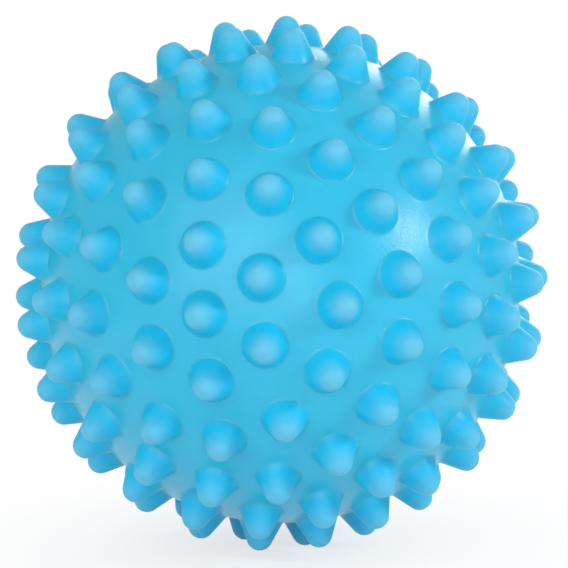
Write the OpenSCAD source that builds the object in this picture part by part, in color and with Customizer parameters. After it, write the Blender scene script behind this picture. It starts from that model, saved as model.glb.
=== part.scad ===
// Sensory ball: a hollow soft vinyl ball covered with blunt cone nubs, with a valve insert and a
// pull-out stopper at the back. The origin is the centre of the ball and +Z is up. The nub at the
// front pole of the pattern points along -Y and the valve along +Y.

/* [Ball] */
// Diameter of the round body between the nubs
body_d = 161; // [150:1:200]
// Thickness of the moulded skin, on the body and in the nubs
wall = 1.6; // [1:0.1:2.4]

/* [Nubs] */
// Height of a nub above the body
nub_h = 9.5; // [7:0.5:12]
// Diameter of a nub where it meets the body
nub_base_d = 14.5; // [13:0.5:17]
// Radius of the round tip of a nub
nub_tip_r = 4.4; // [3:0.1:4.5]
// Nubs in each of the three rows round the middle
equator_count = 25; // [22:1:26]

/* [Valve socket] */
// Diameter of the socket where it shows in the skin
socket_d = 17; // [16:0.5:20]
// Diameter of the skirt inside the skin
skirt_d = 25; // [23:0.5:28]
// Thickness of the skirt at its edge
skirt_t = 2; // [1.5:0.1:3]
// Outer diameter of the barrel around the bore
barrel_d = 11; // [10:0.5:13]
// Length of the barrel below the skirt
barrel_len = 10; // [8:0.5:14]
// Gap that the bond between socket and skin fills
bond_gap = 0.05; // [0.02:0.01:0.1]

/* [Valve plug] */
// Diameter of the stem of the stopper
stem_d = 6; // [5:0.1:7]
// Distance that the stem stops short of the end of the barrel
stem_short = 0.5; // [0:0.1:2]
// Length of the tapered lead-in at the end of the stem
lead_len = 2; // [1:0.1:3]
// Diameter of the head
head_d = 10; // [9:0.1:11]
// Thickness of the head at its edge
head_t = 1.5; // [1.2:0.1:2]
// Radial clearance of the stem in its bore
stem_gap = 0.05; // [0.02:0.01:0.1]
// Radial clearance of the head in its seat
head_gap = 0.3; // [0.2:0.05:0.5]
// Width of the notch for a fingernail at the edge of the head
notch_w = 5; // [3:0.5:6]

/* [Hidden] */
$fn = 96;

skin_blue = "#4fbdea";
socket_blue = "#3aa9da";
plug_white = "#eef1f2";

// Facets of the two large spheres and of a nub
ball_facets = 180;
nub_facets = 36;

body_r = body_d / 2;
cavity_r = body_r - wall;
nub_base_r = nub_base_d / 2;

// Rows of nubs from the front pole to the parting plane, one row_pitch apart: nubs in the row and
// the angle of one of them about the pole
rows = [
    [6, 33.5],
    [12, 4],
    [17, 11.5],
    [21, 0.3],
    [equator_count, 10.4],
    [equator_count, 2.2],
];
row_pitch = 90 / len(rows);
// How far the back half is turned about the poles
back_turn = 5.8;

// The nubs of these rows, each as its angle from the front pole and its angle about it
front_nubs = [
    for (i = [0 : len(rows) - 1]) for (k = [0 : rows[i][0] - 1])
        [(i + 1) * row_pitch, rows[i][1] + k * 360 / rows[i][0]]
];
// The rows behind the parting plane are the front ones seen in a mirror and turned, and the valve
// is in the place of the nub at the back pole
nub_places = concat(
    [[0, 0]],
    front_nubs,
    [for (n = front_nubs) if (n[0] < 90) [180 - n[0], n[1] + back_turn]]
);

// How far the flank of a nub runs on below the round surface it stands on, and how far inside the
// round of the tip it ends, so that the surfaces cross instead of touching
root_depth = 1;
tip_sink = 0.1;

// A cone with a round tip that meets a sphere of radius ball_r in a circle of radius base_r, and
// rises nub_h above the sphere
module nub(ball_r, base_r, tip_r) {
    base_z = sqrt(ball_r * ball_r - base_r * base_r);
    tip_z = ball_r + nub_h - tip_r;
    flank_r = tip_r - tip_sink;
    reach = norm([base_r, tip_z - base_z]);
    slope = atan2(base_r, tip_z - base_z) - asin(flank_r / reach);
    root_z = base_z - root_depth;
    top_z = tip_z + flank_r * sin(slope);
    translate([0, 0, root_z])
        cylinder(
            r1 = base_r + root_depth * tan(slope),
            r2 = flank_r * cos(slope),
            h = top_z - root_z,
            $fn = nub_facets
        );
    translate([0, 0, tip_z])
        sphere(r = tip_r, $fn = nub_facets);
}

// A sphere of radius ball_r with all the nubs on it, the front pole at +Z
module nubbed_ball(ball_r, base_r, tip_r) {
    sphere(r = ball_r, $fn = ball_facets);
    for (n = nub_places)
        rotate([0, n[0], n[1]])
            nub(ball_r, base_r, tip_r);
}

// Stands its children at the valve, with +Z pointing out of the ball
module at_valve() {
    rotate([-90, 0, 0])
        children();
}

// The skin: the outer form less the air space, which runs up into every nub, and less the hole
// for the valve socket
module ball_shell() {
    color(skin_blue)
        difference() {
            rotate([90, 0, 0])
                difference() {
                    nubbed_ball(body_r, nub_base_r, nub_tip_r);
                    nubbed_ball(cavity_r, nub_base_r - wall, nub_tip_r - wall);
                }
            at_valve()
                translate([0, 0, skirt_z])
                    cylinder(d = socket_d + 2 * bond_gap, h = body_r + wall - skirt_z);
        }
}

head_r = head_d / 2;
seat_z = sqrt(body_r * body_r - head_r * head_r) - head_t;
skirt_z = sqrt(cavity_r * cavity_r - skirt_d * skirt_d / 4) - skirt_t;
barrel_z = skirt_z - barrel_len;
stem_r = stem_d / 2;
stem_z = barrel_z + stem_short;
// The stem runs on into the head, half way up its edge
stem_top = seat_z + head_t / 2;

// A disc from height z upwards that ends in the round surface of a sphere
module capped_disc(d, z, ball_r) {
    intersection() {
        translate([0, 0, z])
            cylinder(d = d, h = ball_r - z);
        sphere(r = ball_r, $fn = ball_facets);
    }
}

// The insert: a flush face, a skirt inside the skin, and a barrel with the bore
module valve_socket() {
    color(socket_blue)
        at_valve()
            difference() {
                union() {
                    capped_disc(socket_d, skirt_z, body_r);
                    capped_disc(skirt_d, skirt_z, cavity_r - bond_gap);
                    translate([0, 0, barrel_z])
                        cylinder(d = barrel_d, h = skirt_t + barrel_len);
                }
                translate([0, 0, barrel_z - wall])
                    cylinder(d = stem_d + 2 * stem_gap, h = body_r - barrel_z);
                translate([0, 0, seat_z])
                    cylinder(d = head_d + 2 * head_gap, h = body_r - seat_z);
                translate([0, -head_r, seat_z])
                    cylinder(d = notch_w, h = body_r - seat_z);
            }
}

// The stopper: a flush round head and a stem with a tapered end
module valve_plug() {
    color(plug_white)
        at_valve() {
            capped_disc(head_d, seat_z, body_r);
            rotate_extrude()
                polygon([
                    [0, stem_z],
                    [stem_r / 2, stem_z],
                    [stem_r, stem_z + lead_len],
                    [stem_r, stem_top],
                    [0, stem_top],
                ]);
        }
}

ball_shell();
valve_socket();
valve_plug();
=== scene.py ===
import math

import bmesh
import bpy
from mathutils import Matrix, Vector


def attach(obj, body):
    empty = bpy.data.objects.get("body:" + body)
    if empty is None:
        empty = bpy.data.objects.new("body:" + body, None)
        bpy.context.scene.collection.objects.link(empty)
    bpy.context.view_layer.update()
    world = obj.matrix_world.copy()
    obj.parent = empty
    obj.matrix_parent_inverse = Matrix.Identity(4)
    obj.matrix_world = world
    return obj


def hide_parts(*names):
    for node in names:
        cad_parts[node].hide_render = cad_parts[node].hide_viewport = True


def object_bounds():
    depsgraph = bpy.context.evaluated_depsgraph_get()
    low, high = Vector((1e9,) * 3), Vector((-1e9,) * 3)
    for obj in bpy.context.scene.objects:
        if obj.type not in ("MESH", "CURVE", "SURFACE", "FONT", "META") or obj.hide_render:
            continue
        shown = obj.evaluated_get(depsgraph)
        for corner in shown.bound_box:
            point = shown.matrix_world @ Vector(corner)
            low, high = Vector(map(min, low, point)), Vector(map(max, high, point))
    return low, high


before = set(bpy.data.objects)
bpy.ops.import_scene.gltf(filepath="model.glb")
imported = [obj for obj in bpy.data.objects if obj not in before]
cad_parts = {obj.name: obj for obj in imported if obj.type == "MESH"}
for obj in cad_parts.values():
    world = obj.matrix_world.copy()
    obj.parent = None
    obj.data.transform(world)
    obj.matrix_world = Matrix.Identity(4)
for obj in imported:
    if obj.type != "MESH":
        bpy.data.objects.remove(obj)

cad_low, cad_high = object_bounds()

# Sizes of the ball, in metres, as in the solids
BODY_R = 0.0805
WALL = 0.0016
CAVITY_R = BODY_R - WALL
NUB_H = 0.0095
NUB_BASE_R = 0.00725
NUB_TIP_R = 0.0044
# Radius of the soft round where a nub grows out of the body
NUB_FOOT_R = 0.0012

# Rows of nubs from the front pole to the parting plane: nubs, and the angle of one about the pole
ROWS = ((6, 33.5), (12, 4), (17, 11.5), (21, 0.3), (25, 10.4), (25, 2.2))
ROW_PITCH = 90 / len(ROWS)
# How far the back half is turned about the poles, in degrees
BACK_TURN = 5.8
FRONT = Vector((0, -1, 0))
VALVE_AXIS = Vector((0, 1, 0))

# Sizes of the valve, in metres, as in the solids
SOCKET_R = 0.0085
SKIRT_R = 0.0125
SKIRT_T = 0.002
BARREL_R = 0.0055
BARREL_LEN = 0.01
BOND_GAP = 0.00005
STEM_R = 0.003
STEM_SHORT = 0.0005
LEAD_LEN = 0.002
HEAD_R = 0.005
HEAD_T = 0.0015
STEM_GAP = 0.00005
HEAD_GAP = 0.0003
NOTCH_R = 0.0025
# Radius of the small rounds along the edges of the valve
EDGE_R = 0.00025

# Radii round the valve's axis
HOLE_R = SOCKET_R + BOND_GAP
BORE_R = STEM_R + STEM_GAP
SEAT_R = HEAD_R + HEAD_GAP
# Radius of the round face of the skirt that lies against the inside of the skin
UNDER_SKIN_R = CAVITY_R - BOND_GAP
# Heights along the valve's axis, from the centre of the ball
SEAT_Z = math.sqrt(BODY_R ** 2 - HEAD_R ** 2) - HEAD_T
SKIRT_Z = math.sqrt(CAVITY_R ** 2 - SKIRT_R ** 2) - SKIRT_T
BARREL_Z = SKIRT_Z - BARREL_LEN
STEM_Z = BARREL_Z + STEM_SHORT

# Fineness of the meshes: angle between points on a cell's edge, steps along each stretch of an
# outline, and points round the valve and the floor
CELL_STEP = math.radians(1.25)
TIP_STEPS = 7
FLANK_STEPS = 3
FOOT_STEPS = 5
BODY_STEPS = 4
CAVITY_STEPS = 28
EDGE_STEPS = 5
DOME_STEPS = 6
SWEEP_STEPS = 12
VALVE_RAYS = 96
FLOOR_RAYS = 96
# Points closer than this, in metres, are one point
MERGE_DISTANCE = 0.000002

# Colours, as linear red, green and blue
SKIN_BLUE = (0.018, 0.456, 0.674)
SKIN_CLOUD = (0.028, 0.476, 0.704)
# Painted shade: the deeper blue up the flanks of the nubs
FLANK_SHADE_BLUE = (0.001, 0.478, 0.742)
# Painted highlight: the paler blue on the tips of the nubs
TIP_HIGHLIGHT_BLUE = (0.11, 0.468, 0.668)
SOCKET_BLUE = (0.01, 0.35, 0.65)
SOCKET_CLOUD = (0.015, 0.39, 0.7)
STOPPER_WHITE = (0.82, 0.84, 0.84)
STOPPER_YELLOWED = (0.76, 0.77, 0.74)
FLOOR_WHITE = (0.9, 0.9, 0.9)

# Distances from the centre of the ball over which the skin turns deeper with painted shade, duller, and
# paler with a painted highlight up a nub
FLANK_SHADE_RISE = (BODY_R + 0.0002, BODY_R + 0.002)
DULL_RISE = (BODY_R + 0.0008, BODY_R + 0.003)
TIP_HIGHLIGHT_RISE = (BODY_R + 0.36 * NUB_H, BODY_R + NUB_H)
# Roughness: ranges that follow the grain, and one value for the upper part of the nubs
SKIN_ROUGHNESS = (0.29, 0.39)
NUB_ROUGHNESS = 0.56
SOCKET_ROUGHNESS = (0.3, 0.4)
STOPPER_ROUGHNESS = (0.35, 0.5)
# The part of a noise's range that is spread over a range of roughness or between two colours
GRAIN_SPAN = (0.3, 0.7)
CLOUD_SPAN = (0.35, 0.65)
YELLOWED_SPAN = (0.4, 0.7)

# Stage, in metres: the flat floor, the sweep at its edge, the top of the wall, and how far from the
# middle of the floor shade shows
FLOOR_R = 2.6
SWEEP_R = 0.4
WALL_H = 0.7
SHADOW_R = 0.15
# The share of the true shade that shows in the middle of the floor
SHADOW_SHARE = 0.3

# Light: the strength from all round, and the softboxes, each with its name, its direction as right,
# up and towards the camera, its distance and size in metres, its watts and its colour
WORLD_FILL = 0.54
SOFTBOXES = (
    ("front_softbox", (-0.42, 0.26, 0.87), 1.4, 1.3, 9.8, (1, 0.98, 0.94)),
    ("low_softbox", (0.1, -0.01, 0.99), 1.4, 0.5, 2.7, (1, 0.98, 0.95)),
    ("right_softbox", (0.84, 0.34, 0.41), 1.2, 0.2, 5, (0.97, 0.99, 1)),
    ("rim_softbox", (0.35, 0.45, -0.83), 1.4, 0.8, 7, (1, 1, 1)),
)

# The camera, from the photograph: its place in degrees and metres, and where the centre of the ball
# lies in the picture
PHOTO_SIDE = 568
CAMERA_AZIMUTH = 16.9
CAMERA_ELEVATION = 6.9
CAMERA_DISTANCE = 0.81
FOCAL_PIXELS = 2396
BALL_CENTRE_PIXEL = (280.6, 283.6)
SENSOR_MM = 36
# The nearest distance that the camera shows, in metres
CLIP_START = 0.01


# Shape of the ball

def pattern_direction(from_pole, about_pole):
    """Unit vector at these angles, in degrees, from the front pole and about it."""
    theta = math.radians(from_pole)
    phi = math.radians(about_pole)
    across = math.sin(theta)
    return Vector((across * math.cos(phi), -math.cos(theta), across * math.sin(phi)))


def nub_directions():
    """Where the nubs point: the front pole, the rows in front, and their turned mirror image behind."""
    found = [FRONT]
    for i, (count, turn) in enumerate(ROWS):
        from_pole = (i + 1) * ROW_PITCH
        for k in range(count):
            about = turn + k * 360 / count
            found.append(pattern_direction(from_pole, about))
            if i + 1 < len(ROWS):
                found.append(pattern_direction(180 - from_pole, about + BACK_TURN))
    return found


def arc_points(a, b, step):
    """Points on the great circle from a up to, but not including, b."""
    count = max(1, round(a.angle(b) / step))
    return [a.slerp(b, k / count) for k in range(count)]


def cell_edges(directions):
    """For each direction, the edge of the part of the sphere that is nearest to it, as a ring of
    points."""
    bm = bmesh.new()
    points = [bm.verts.new(d) for d in directions]
    bmesh.ops.convex_hull(bm, input=points)
    bm.normal_update()
    rings = []
    for point, axis in zip(points, directions):
        side = axis.orthogonal().normalized()
        up = axis.cross(side)
        corners = []
        for face in point.link_faces:
            corner = face.normal.copy()
            if corner.dot(axis) < 0:
                corner.negate()
            corners.append(corner)
        corners.sort(key=lambda c: math.atan2(c.dot(up), c.dot(side)))
        ring = []
        for here, after in zip(corners, corners[1:] + corners[:1]):
            ring += arc_points(here, after, CELL_STEP)
        rings.append(ring)
    bm.free()
    return rings


def arc_profile(centre, radius, start, end, steps):
    """Points (radius, height) on an arc between two angles, in radians."""
    made = []
    for k in range(steps + 1):
        angle = start + (end - start) * k / steps
        made.append((centre[0] + radius * math.cos(angle), centre[1] + radius * math.sin(angle)))
    return made


def nub_profile():
    """Outline of a nub from its tip to the end of its foot on the body, as (radius, height) points."""
    base = Vector((NUB_BASE_R, math.sqrt(BODY_R ** 2 - NUB_BASE_R ** 2)))
    tip_z = BODY_R + NUB_H - NUB_TIP_R
    rise = tip_z - base.y
    slope = math.atan2(base.x, rise) - math.asin(NUB_TIP_R / math.hypot(base.x, rise))
    up_flank = Vector((-math.sin(slope), math.cos(slope)))
    off_flank = Vector((math.cos(slope), math.sin(slope)))
    # The centre of the foot's round is one radius off the flank and one radius off the body
    offset = base + off_flank * NUB_FOOT_R
    along = offset.dot(up_flank)
    short = offset.length_squared - (BODY_R + NUB_FOOT_R) ** 2
    foot = offset + up_flank * (math.sqrt(along ** 2 - short) - along)
    foot_start = slope + math.pi
    foot_end = math.atan2(-foot.y, -foot.x) % (2 * math.pi)
    tip = arc_profile((0, tip_z), NUB_TIP_R, math.pi / 2, slope, TIP_STEPS)
    round_foot = arc_profile(foot, NUB_FOOT_R, foot_start, foot_end, FOOT_STEPS)
    flank_top = Vector(tip[-1])
    flank_end = Vector(round_foot[0])
    flank = [tuple(flank_top.lerp(flank_end, k / FLANK_STEPS)) for k in range(1, FLANK_STEPS)]
    return tip[1:] + flank + round_foot


def hole_profile():
    """Outline of the edge of the valve's hole, from its wall out onto the body."""
    top = math.sqrt(BODY_R ** 2 - (HOLE_R + EDGE_R) ** 2)
    return arc_profile((HOLE_R + EDGE_R, top - EDGE_R), EDGE_R, math.pi, math.pi / 2, EDGE_STEPS)


def bridge(bm, inner, outer):
    """Quads between two rings with the same number of vertices."""
    for k in range(len(inner)):
        after = (k + 1) % len(inner)
        bm.faces.new((inner[k], outer[k], outer[after], inner[after]))


def close(bm, ring, tip):
    """Triangles from a ring to one vertex."""
    for k in range(len(ring)):
        bm.faces.new((tip, ring[k], ring[(k + 1) % len(ring)]))


def add_cell(bm, axis, ring, profile, tip_point):
    """Adds the skin round one axis: the profile turned about it, then the body out to the cell's edge.
    Returns the innermost ring of vertices."""
    rays = []
    for point in ring:
        along = point.dot(axis)
        rays.append(((point - axis * along).normalized(), math.acos(along)))
    levels = []
    for radius, height in profile:
        levels.append([bm.verts.new(axis * height + ray * radius) for ray, reach in rays])
    start = math.atan2(*profile[-1])
    for k in range(1, BODY_STEPS + 1):
        level = []
        for ray, reach in rays:
            angle = start + (reach - start) * k / BODY_STEPS
            level.append(bm.verts.new((axis * math.cos(angle) + ray * math.sin(angle)) * BODY_R))
        levels.append(level)
    for inner, outer in zip(levels, levels[1:]):
        bridge(bm, inner, outer)
    if tip_point is not None:
        close(bm, levels[0], bm.verts.new(tip_point))
    return levels[0]


def add_cavity(bm, hole):
    """Adds the wall of the valve's hole and the air space behind it, from the ring at the hole's
    mouth."""
    rays = []
    for vert in hole:
        rays.append((vert.co - VALVE_AXIS * vert.co.dot(VALVE_AXIS)).normalized())
    hole_angle = math.asin(HOLE_R / CAVITY_R)
    last = hole
    for k in range(CAVITY_STEPS):
        angle = hole_angle + (math.pi - hole_angle) * k / CAVITY_STEPS
        height = VALVE_AXIS * CAVITY_R * math.cos(angle)
        reach = CAVITY_R * math.sin(angle)
        level = [bm.verts.new(height + ray * reach) for ray in rays]
        bridge(bm, level, last)
        last = level
    close(bm, last, bm.verts.new(VALVE_AXIS * -CAVITY_R))


def finish_mesh(bm, name):
    """Turns the bmesh into a smooth object in the scene."""
    bmesh.ops.remove_doubles(bm, verts=bm.verts, dist=MERGE_DISTANCE)
    bmesh.ops.recalc_face_normals(bm, faces=bm.faces)
    mesh = bpy.data.meshes.new(name)
    bm.to_mesh(mesh)
    bm.free()
    mesh.shade_smooth()
    made = bpy.data.objects.new(name, mesh)
    bpy.context.scene.collection.objects.link(made)
    return made


def make_skin():
    """The moulded skin with all its nubs, the hole for the valve and a plain round air space."""
    nubs = nub_directions()
    edges = cell_edges(nubs + [VALVE_AXIS])
    bm = bmesh.new()
    profile = nub_profile()
    for axis, ring in zip(nubs, edges):
        add_cell(bm, axis, ring, profile, axis * (BODY_R + NUB_H))
    hole = add_cell(bm, VALVE_AXIS, edges[-1], hole_profile(), None)
    add_cavity(bm, hole)
    return finish_mesh(bm, "ball_skin")


# Shape of the valve

def round_corner(before, corner, after):
    """A small round of EDGE_R in place of a corner of an outline."""
    at = Vector(corner)
    one = (Vector(before) - at).normalized() * EDGE_R
    two = (Vector(after) - at).normalized() * EDGE_R
    made = []
    for k in range(EDGE_STEPS + 1):
        t = k / EDGE_STEPS
        made.append(tuple(at + one * (1 - t) ** 2 + two * t ** 2))
    return made


def on_sphere(radius, ball_r):
    """The point of a sphere about the centre of the ball at this distance off the axis."""
    return radius, math.sqrt(ball_r ** 2 - radius ** 2)


def dome(inner, outer, ball_r):
    """Points on such a sphere between two distances off the axis."""
    steps = range(1, DOME_STEPS)
    return [on_sphere(inner + (outer - inner) * k / DOME_STEPS, ball_r) for k in steps]


def valve_point(radius, height, angle):
    """A point at this distance from the valve's axis, with angle 0 at +X and 90 degrees at +Z."""
    return Vector((radius * math.cos(angle), height, radius * math.sin(angle)))


def seat_reach(angle):
    """How far the seat of the head reaches from the axis: a circle, and the notch at the top."""
    off = abs(angle - math.pi / 2)
    if off > math.asin(NOTCH_R / HEAD_R):
        return SEAT_R
    notch = HEAD_R * math.cos(off) + math.sqrt(NOTCH_R ** 2 - (HEAD_R * math.sin(off)) ** 2)
    return max(SEAT_R, notch)


def notch_shift(radius, height, angle):
    """Where a point of the socket's outline goes at this angle: outwards with the notch, if it lies
    between the seat's circle and the socket's edge. A point on the face stays flush."""
    inside = SEAT_R - 2 * EDGE_R <= radius < SOCKET_R - EDGE_R
    if not inside or height < SEAT_Z:
        return radius, height
    share = min(1, (SOCKET_R - radius) / (SOCKET_R - SEAT_R))
    moved = radius + (seat_reach(angle) - SEAT_R) * share
    if on_sphere(radius, BODY_R)[1] - height < EDGE_R / 2:
        return on_sphere(moved, BODY_R)
    return moved, height


def lathe(name, outline, shift=None):
    """Turns an outline about the valve's axis, with each point moved by shift if one is given."""
    bm = bmesh.new()
    levels = []
    for radius, height in outline:
        level = []
        for k in range(VALVE_RAYS):
            angle = 2 * math.pi * k / VALVE_RAYS
            place = shift(radius, height, angle) if shift else (radius, height)
            level.append(bm.verts.new(valve_point(*place, angle)))
        levels.append(level)
    for one, two in zip(levels, levels[1:]):
        bridge(bm, one, two)
    if outline[0][0] > 0:
        bridge(bm, levels[-1], levels[0])
    return finish_mesh(bm, name)


def make_socket():
    """The insert: a flush face round the seat of the head, a skirt inside the skin, and the barrel."""
    face_in = on_sphere(SEAT_R, BODY_R)
    face_out = on_sphere(SOCKET_R, BODY_R)
    skirt_in = on_sphere(SOCKET_R, UNDER_SKIN_R)
    skirt_out = on_sphere(SKIRT_R, UNDER_SKIN_R)
    corners = [
        (BORE_R, BARREL_Z),
        (BORE_R, SEAT_Z),
        (SEAT_R, SEAT_Z),
        face_in,
        face_out,
        skirt_in,
        skirt_out,
        (SKIRT_R, SKIRT_Z),
        (BARREL_R, SKIRT_Z),
        (BARREL_R, BARREL_Z),
    ]
    outline = []
    for k, corner in enumerate(corners):
        outline += round_corner(corners[k - 1], corner, corners[(k + 1) % len(corners)])
        if corner == face_in:
            outline += dome(SEAT_R, SOCKET_R, BODY_R)
        if corner == skirt_in:
            outline += dome(SOCKET_R, SKIRT_R, UNDER_SKIN_R)
    return lathe("valve_socket_insert", outline, notch_shift)


def make_plug():
    """The stopper: a flush round head, and a stem with a tapered end."""
    outline = [(0, BODY_R)] + dome(0, HEAD_R, BODY_R)
    path = [
        outline[-1],
        on_sphere(HEAD_R, BODY_R),
        (HEAD_R, SEAT_Z),
        (STEM_R, SEAT_Z),
        (STEM_R, STEM_Z + LEAD_LEN),
        (STEM_R / 2, STEM_Z),
        (0, STEM_Z),
    ]
    for before, corner, after in zip(path, path[1:], path[2:]):
        outline += round_corner(before, corner, after)
    outline.append(path[-1])
    return lathe("valve_stopper", outline)


# Materials

class Paint:
    """A material with a Principled shader and short calls for the nodes that feed it."""

    def __init__(self, name):
        self.material = bpy.data.materials.new(name)
        self.material.use_nodes = True
        self.nodes = self.material.node_tree.nodes
        self.links = self.material.node_tree.links
        self.shader = self.nodes["Principled BSDF"]
        self.place = self.nodes.new("ShaderNodeTexCoord").outputs["Object"]

    def set(self, **values):
        """Sets sockets of the shader, with spaces in their names as underscores."""
        for name, value in values.items():
            self.shader.inputs[name.replace("_", " ")].default_value = value

    def feed(self, output, name):
        """Links the output of a node to a socket of the shader."""
        self.links.new(output, self.shader.inputs[name])

    def noise(self, waves, detail):
        """Noise with this many waves per metre."""
        node = self.nodes.new("ShaderNodeTexNoise")
        node.inputs["Scale"].default_value = waves
        node.inputs["Detail"].default_value = detail
        self.links.new(self.place, node.inputs["Vector"])
        return node.outputs["Fac"]

    def remap(self, value, span, target=(0, 1)):
        """The value moved from one range to another and held inside it."""
        node = self.nodes.new("ShaderNodeMapRange")
        self.links.new(value, node.inputs["Value"])
        for name, number in zip(("From Min", "From Max", "To Min", "To Max"), span + target):
            node.inputs[name].default_value = number
        return node.outputs["Result"]

    def distance(self):
        """Distance from the centre of the ball."""
        node = self.nodes.new("ShaderNodeVectorMath")
        node.operation = "LENGTH"
        self.links.new(self.place, node.inputs[0])
        return node.outputs["Value"]

    def mix(self, factor, first, second):
        """A colour between two, each a colour or the output of a node."""
        node = self.nodes.new("ShaderNodeMix")
        node.data_type = "RGBA"
        self.links.new(factor, node.inputs["Factor"])
        for name, colour in (("A", first), ("B", second)):
            socket = next(s for s in node.inputs if s.name == name and s.type == "RGBA")
            if isinstance(colour, tuple):
                socket.default_value = (*colour, 1)
            else:
                self.links.new(colour, socket)
        return next(s for s in node.outputs if s.type == "RGBA")

    def blend(self, factor, first, second):
        """A value that goes from the first, an output, to the second, a number, with the factor."""
        node = self.nodes.new("ShaderNodeMix")
        self.links.new(factor, node.inputs["Factor"])
        self.links.new(first, node.inputs["A"])
        node.inputs["B"].default_value = second
        return node.outputs["Result"]

    def bump(self, height, strength, depth, under=None):
        """A bump of this depth in metres, on top of another bump if one is given."""
        node = self.nodes.new("ShaderNodeBump")
        node.inputs["Strength"].default_value = strength
        node.inputs["Distance"].default_value = depth
        self.links.new(height, node.inputs["Height"])
        if under is not None:
            self.links.new(under, node.inputs["Normal"])
        return node.outputs["Normal"]


def skin_paint():
    """Light blue soft vinyl with the fine grain of a blasted mould: a little cloudy on the body, with
    painted shade that deepens the colour up the flanks of the nubs, and a painted highlight that makes
    their tips paler."""
    paint = Paint("skin_vinyl")
    height = paint.distance()
    cloud = paint.remap(paint.noise(waves=45, detail=4), CLOUD_SPAN)
    body = paint.mix(cloud, SKIN_BLUE, SKIN_CLOUD)
    # Painted shade: the flanks of the nubs turn a deeper blue
    flank = paint.mix(paint.remap(height, FLANK_SHADE_RISE), body, FLANK_SHADE_BLUE)
    # Painted highlight: the tips of the nubs turn a paler blue
    paint.feed(paint.mix(paint.remap(height, TIP_HIGHLIGHT_RISE), flank, TIP_HIGHLIGHT_BLUE), "Base Color")
    grain = paint.noise(waves=1400, detail=2)
    smooth = paint.remap(grain, GRAIN_SPAN, SKIN_ROUGHNESS)
    paint.feed(paint.blend(paint.remap(height, DULL_RISE), smooth, NUB_ROUGHNESS), "Roughness")
    ripples = paint.bump(paint.noise(waves=120, detail=2), strength=0.15, depth=0.0006)
    paint.feed(paint.bump(grain, strength=0.35, depth=0.00015, under=ripples), "Normal")
    paint.set(Specular_IOR_Level=0.42, Subsurface_Weight=0.8)
    paint.set(Subsurface_Radius=(0.25, 0.8, 1.0), Subsurface_Scale=0.003)
    return paint.material


def socket_paint():
    """Smooth soft vinyl, a little deeper blue and faintly cloudy."""
    paint = Paint("socket_vinyl")
    cloud = paint.remap(paint.noise(waves=300, detail=4), CLOUD_SPAN)
    paint.feed(paint.mix(cloud, SOCKET_BLUE, SOCKET_CLOUD), "Base Color")
    grain = paint.noise(waves=700, detail=3)
    paint.feed(paint.remap(grain, GRAIN_SPAN, SOCKET_ROUGHNESS), "Roughness")
    dents = paint.noise(waves=900, detail=3)
    paint.feed(paint.bump(dents, strength=0.15, depth=0.0001), "Normal")
    paint.set(IOR=1.5, Subsurface_Weight=0.1)
    paint.set(Subsurface_Radius=(0.3, 0.8, 1.0), Subsurface_Scale=0.001)
    return paint.material


def stopper_paint():
    """White moulded plastic, satin, a little yellowed in places and finely scuffed."""
    paint = Paint("stopper_plastic")
    yellowed = paint.remap(paint.noise(waves=240, detail=4), YELLOWED_SPAN)
    paint.feed(paint.mix(yellowed, STOPPER_WHITE, STOPPER_YELLOWED), "Base Color")
    grain = paint.noise(waves=1500, detail=3)
    paint.feed(paint.remap(grain, GRAIN_SPAN, STOPPER_ROUGHNESS), "Roughness")
    scuffs = paint.noise(waves=2200, detail=3)
    paint.feed(paint.bump(scuffs, strength=0.15, depth=0.00008), "Normal")
    paint.set(IOR=1.49)
    return paint.material


def dress(piece, body, node, material):
    """Puts a finished piece on its body in place of a CAD node."""
    piece.data.materials.append(material)
    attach(piece, body)
    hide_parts(node)


# Stage, light and camera

def seen_rays(nodes, links):
    """1 on rays that show the background: straight from the camera, in a gloss or through glass."""
    path = nodes.new("ShaderNodeLightPath")
    total = path.outputs["Is Camera Ray"]
    for name in ("Is Glossy Ray", "Is Transmission Ray"):
        node = nodes.new("ShaderNodeMath")
        node.operation = "MAXIMUM"
        links.new(total, node.inputs[0])
        links.new(path.outputs[name], node.inputs[1])
        total = node.outputs["Value"]
    return total


def shade_share(nodes, links):
    """How much of the true shade shows: SHADOW_SHARE under the ball, and none from SHADOW_R on."""
    length = nodes.new("ShaderNodeVectorMath")
    length.operation = "LENGTH"
    links.new(nodes.new("ShaderNodeTexCoord").outputs["Object"], length.inputs[0])
    share = nodes.new("ShaderNodeMapRange")
    share.interpolation_type = "SMOOTHSTEP"
    share.inputs["From Min"].default_value = 0
    share.inputs["From Max"].default_value = SHADOW_R
    share.inputs["To Min"].default_value = SHADOW_SHARE
    share.inputs["To Max"].default_value = 0
    links.new(length.outputs["Value"], share.inputs["Value"])
    return share.outputs["Result"]


def mix_shaders(nodes, links, factor, first, second):
    """A shader between two."""
    node = nodes.new("ShaderNodeMixShader")
    for socket, output in zip(node.inputs, (factor, first, second)):
        links.new(output, socket)
    return node.outputs[0]


def floor_paint():
    """White floor: seen as plain white, but for a share of true shade close round the ball."""
    made = bpy.data.materials.new("floor_white")
    made.use_nodes = True
    nodes = made.node_tree.nodes
    links = made.node_tree.links
    nodes.clear()
    diffuse = nodes.new("ShaderNodeBsdfDiffuse")
    diffuse.inputs["Color"].default_value = (*FLOOR_WHITE, 1)
    matte = diffuse.outputs[0]
    white = nodes.new("ShaderNodeEmission").outputs[0]
    shown = mix_shaders(nodes, links, shade_share(nodes, links), white, matte)
    final = mix_shaders(nodes, links, seen_rays(nodes, links), matte, shown)
    output = nodes.new("ShaderNodeOutputMaterial")
    links.new(final, output.inputs["Surface"])
    return made


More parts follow.
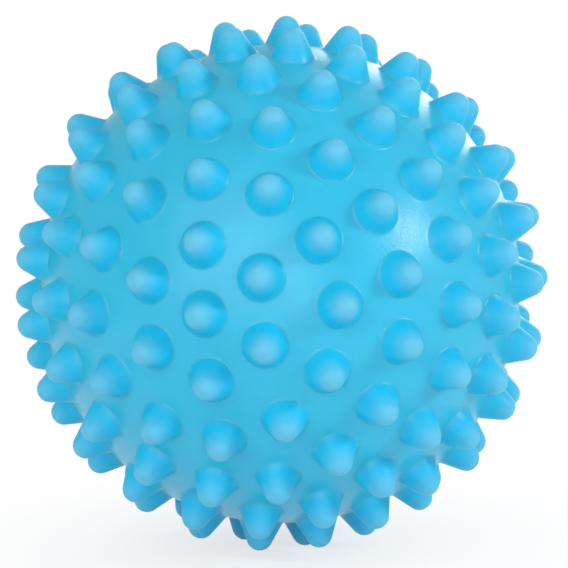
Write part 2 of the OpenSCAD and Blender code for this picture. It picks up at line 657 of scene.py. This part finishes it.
def make_floor(height):
    """A round floor that sweeps up into a low white wall all round."""
    outline = arc_profile((FLOOR_R, SWEEP_R), SWEEP_R, -math.pi / 2, 0, SWEEP_STEPS)
    outline.append((FLOOR_R + SWEEP_R, WALL_H))
    bm = bmesh.new()
    levels = []
    for radius, rise in outline:
        level = []
        for k in range(FLOOR_RAYS):
            angle = 2 * math.pi * k / FLOOR_RAYS
            level.append(bm.verts.new((radius * math.cos(angle), radius * math.sin(angle), rise)))
        levels.append(level)
    bm.faces.new(levels[0])
    for inner, outer in zip(levels, levels[1:]):
        bridge(bm, inner, outer)
    made = finish_mesh(bm, "floor")
    made.location.z = height
    made.data.materials.append(floor_paint())


def make_world():
    """An even white light from all round, as in a tent."""
    world = bpy.data.worlds.new("studio")
    bpy.context.scene.world = world
    world.use_nodes = True
    shade = world.node_tree.nodes["Background"]
    shade.inputs["Color"].default_value = (1, 1, 1, 1)
    shade.inputs["Strength"].default_value = WORLD_FILL


def camera_axes():
    """Right, up and towards the camera, as unit vectors."""
    azimuth = math.radians(CAMERA_AZIMUTH)
    elevation = math.radians(CAMERA_ELEVATION)
    flat = Vector((math.sin(azimuth), -math.cos(azimuth), 0))
    right = Vector((math.cos(azimuth), math.sin(azimuth), 0))
    towards = flat * math.cos(elevation) + Vector((0, 0, math.sin(elevation)))
    return right, towards.cross(right), towards


def aim(thing, direction, distance):
    """Puts a lamp or camera in this direction from the centre of the ball, facing the centre."""
    bpy.context.scene.collection.objects.link(thing)
    thing.location = direction * distance
    thing.rotation_euler = (-direction).to_track_quat("-Z", "Y").to_euler()


def make_softbox(name, place, distance, size, watts, colour):
    """A square lamp in this direction, given as right, up and towards the camera."""
    parts = (axis * part for axis, part in zip(camera_axes(), place))
    data = bpy.data.lights.new(name, "AREA")
    data.size = size
    data.energy = watts
    data.color = colour
    lamp = bpy.data.objects.new(name, data)
    lamp.visible_camera = False
    aim(lamp, sum(parts, Vector()).normalized(), distance)


def make_camera():
    """The camera at the photograph's place, shifted to put the ball where the photograph has it."""
    data = bpy.data.cameras.new("camera")
    data.sensor_width = SENSOR_MM
    data.lens = SENSOR_MM * FOCAL_PIXELS / PHOTO_SIDE
    data.shift_x = 0.5 - BALL_CENTRE_PIXEL[0] / PHOTO_SIDE
    data.shift_y = BALL_CENTRE_PIXEL[1] / PHOTO_SIDE - 0.5
    data.clip_start = CLIP_START
    camera = bpy.data.objects.new("camera", data)
    aim(camera, camera_axes()[2], CAMERA_DISTANCE)
    bpy.context.scene.camera = camera


dress(make_skin(), "ball", "ball_shell", skin_paint())
dress(make_socket(), "ball", "valve_socket", socket_paint())
dress(make_plug(), "plug", "valve_plug", stopper_paint())

make_floor(cad_low.z)
make_world()
for softbox in SOFTBOXES:
    make_softbox(*softbox)
make_camera()
bpy.context.scene.view_settings.view_transform = "Standard"
